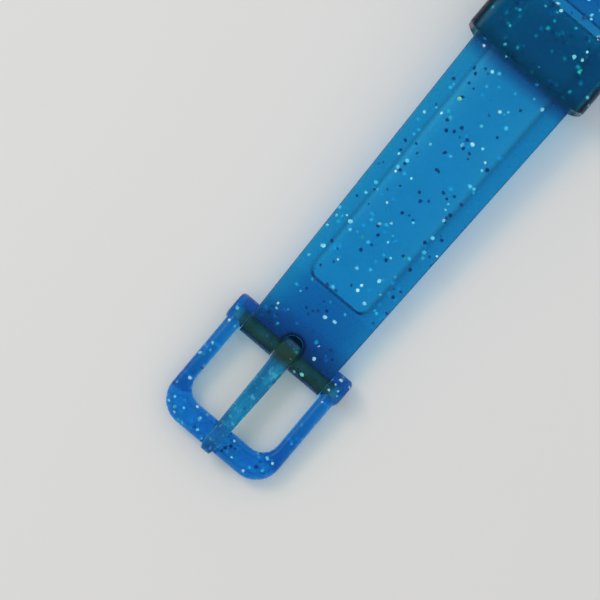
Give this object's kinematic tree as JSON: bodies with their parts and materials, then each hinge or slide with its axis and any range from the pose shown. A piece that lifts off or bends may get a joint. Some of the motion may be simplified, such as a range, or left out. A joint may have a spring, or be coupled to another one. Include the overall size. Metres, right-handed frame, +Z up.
{
  "type": "toy wristwatch",
  "caption": "Child's digital toy watch laid open: translucent glitter strap with buckle, prong and sliding keeper, round case with lens, push buttons and a liquid-crystal module.",
  "frame": {"origin": "middle of the flat case back, which lies on the table", "axes": "+Z up out of the display, +Y along the strap towards the buckle, +X towards the set button"},
  "size_m": [0.0364, 0.2057, 0.0099],
  "materials": {
    "strap_jelly": "translucent blue jelly with fine silver and dark glitter",
    "glitter_plastic": "translucent blue moulded plastic with fine glitter",
    "lens_clear": "clear polished",
    "display": "grey-green liquid-crystal glass",
    "printed_mask": "pale blue printed sheet",
    "black_rubber": "matt",
    "module_plastic": "moulded white",
    "board_green": "solder mask",
    "chip_resin": "cured resin",
    "steel": "plain bright steel",
    "spring_brass": "thin spring strip"
  },
  "bodies": {
    "case": {"case_body": "glitter_plastic", "bezel_ring": "glitter_plastic", "lens": "lens_clear", "face_mask": "printed_mask", "display_glass": "display", "zebra_strip_upper": "black_rubber", "zebra_strip_lower": "black_rubber", "module_frame": "module_plastic", "circuit_board": "board_green", "chip_blob": "chip_resin", "quartz_can": "steel", "button_cell": "steel", "battery_clip": "spring_brass", "negative_leaf": "spring_brass", "back_gasket": "black_rubber", "case_back": "steel", "back_screw_1": "steel", "back_screw_2": "steel", "back_screw_3": "steel", "back_screw_4": "steel", "set_switch_leaf": "spring_brass", "mode_switch_leaf": "spring_brass", "buckle_side_lug_pin": "steel", "hole_side_lug_pin": "steel"},
    "buckle_strap": {"buckle_side_strap": "strap_jelly"},
    "hole_strap": {"hole_side_strap": "strap_jelly"},
    "buckle": {"buckle_frame": "glitter_plastic", "buckle_pin": "steel"},
    "prong": {"buckle_prong": "glitter_plastic"},
    "keeper": {"keeper_loop": "strap_jelly"},
    "set_button": {"set_button": "glitter_plastic", "set_retainer": "steel"},
    "mode_button": {"mode_button": "glitter_plastic", "mode_retainer": "steel"}
  },
  "joints": [
    {"name": "buckle_side_hinge", "type": "hinge", "parent": "case", "child": "buckle_strap", "pos_m": [0, 0.0184, 0.0055], "axis": [1, 0, 0], "range_deg": [-80, 60]},
    {"name": "hole_side_hinge", "type": "hinge", "parent": "case", "child": "hole_strap", "pos_m": [0, -0.0184, 0.0055], "axis": [-1, 0, 0], "range_deg": [-80, 60]},
    {"name": "buckle_hinge", "type": "hinge", "parent": "buckle_strap", "child": "buckle", "pos_m": [0, 0.0803, 0.00205], "axis": [1, 0, 0], "range_deg": [-75, 30]},
    {"name": "prong_hinge", "type": "hinge", "parent": "buckle", "child": "prong", "pos_m": [0, 0.0803, 0.00205], "axis": [1, 0, 0], "range_deg": [0, 70]},
    {"name": "keeper_slide", "type": "slide", "parent": "buckle_strap", "child": "keeper", "axis": [0, 0.9985, -0.0556], "range_m": [0, 0.036]},
    {"name": "set_button_press", "type": "slide", "parent": "case", "child": "set_button", "axis": [-1, 0, 0], "range_m": [0, 0.0008], "stiffness_N_per_m": 1500},
    {"name": "mode_button_press", "type": "slide", "parent": "case", "child": "mode_button", "axis": [1, 0, 0], "range_m": [0, 0.0008], "stiffness_N_per_m": 1500}
  ]
}
